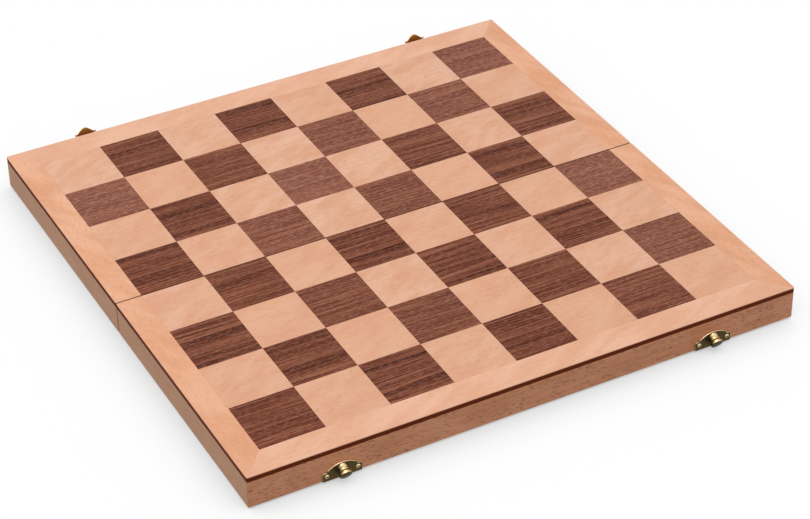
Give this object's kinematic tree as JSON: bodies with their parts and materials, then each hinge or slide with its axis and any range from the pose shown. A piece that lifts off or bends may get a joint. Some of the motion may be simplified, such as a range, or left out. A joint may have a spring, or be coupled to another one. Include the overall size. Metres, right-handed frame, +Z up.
{
  "type": "folding chess box",
  "caption": "Folding wooden chess box lying open: two felt-lined trays hinged at the seam, inlaid chequered top with a mitred border, knobs and swinging hasps.",
  "frame": {"origin": "under the middle of the seam between the two halves, at the lowest line of the hinge barrels", "axes": "+X along the seam to the right, +Y from the knob half (base) to the hasp half (lid), +Z up out of the playing surface"},
  "size_m": [0.3964, 0.4181, 0.0252],
  "materials": {
    "beech_wall": "satin beech with short dark flecks",
    "panel_edge": "dark fibre panel edge",
    "border_veneer": "satin light beech veneer",
    "light_veneer": "satin light beech veneer",
    "dark_veneer": "satin streaked walnut veneer",
    "felt": "short green felt",
    "hinge_brass": "satin brass",
    "hasp_brass": "orange antique brass",
    "antique_brass": "dark antique brass with rubbed edges"
  },
  "bodies": {
    "base": {"base_border_left": "border_veneer", "base_border_outer": "border_veneer", "base_border_right": "border_veneer", "base_hinge_leaf_left": "hinge_brass", "base_hinge_leaf_right": "hinge_brass", "base_hinge_screws": "hinge_brass", "base_latch_screws": "antique_brass", "base_lining": "felt", "base_panel": "panel_edge", "base_squares_dark": "dark_veneer", "base_squares_light": "light_veneer", "base_wall_left": "beech_wall", "base_wall_outer": "beech_wall", "base_wall_right": "beech_wall", "base_wall_seam": "beech_wall", "hinge_pin_left": "hinge_brass", "hinge_pin_right": "hinge_brass", "knob_left": "antique_brass", "knob_plate_left": "antique_brass", "knob_plate_right": "antique_brass", "knob_right": "antique_brass"},
    "lid": {"hasp_pin_left": "antique_brass", "hasp_pin_right": "antique_brass", "hasp_plate_left": "antique_brass", "hasp_plate_right": "antique_brass", "lid_border_left": "border_veneer", "lid_border_outer": "border_veneer", "lid_border_right": "border_veneer", "lid_hinge_leaf_left": "hinge_brass", "lid_hinge_leaf_right": "hinge_brass", "lid_hinge_screws": "hinge_brass", "lid_latch_screws": "antique_brass", "lid_lining": "felt", "lid_panel": "panel_edge", "lid_squares_dark": "dark_veneer", "lid_squares_light": "light_veneer", "lid_wall_left": "beech_wall", "lid_wall_outer": "beech_wall", "lid_wall_right": "beech_wall", "lid_wall_seam": "beech_wall"},
    "hasp_left": {"hasp_left": "hasp_brass"},
    "hasp_right": {"hasp_right": "hasp_brass"}
  },
  "joints": [
    {"name": "fold", "type": "hinge", "parent": "base", "child": "lid", "pos_m": [0, 0, 0.0013], "axis": [-1, 0, 0], "range_deg": [0, 180]},
    {"name": "hasp_left_swing", "type": "hinge", "parent": "lid", "child": "hasp_left", "pos_m": [-0.135, 0.2027, 0.00335], "axis": [-1, 0, 0], "range_deg": [-10, 162]},
    {"name": "hasp_right_swing", "type": "hinge", "parent": "lid", "child": "hasp_right", "pos_m": [0.135, 0.2027, 0.00335], "axis": [-1, 0, 0], "range_deg": [-10, 162]}
  ]
}
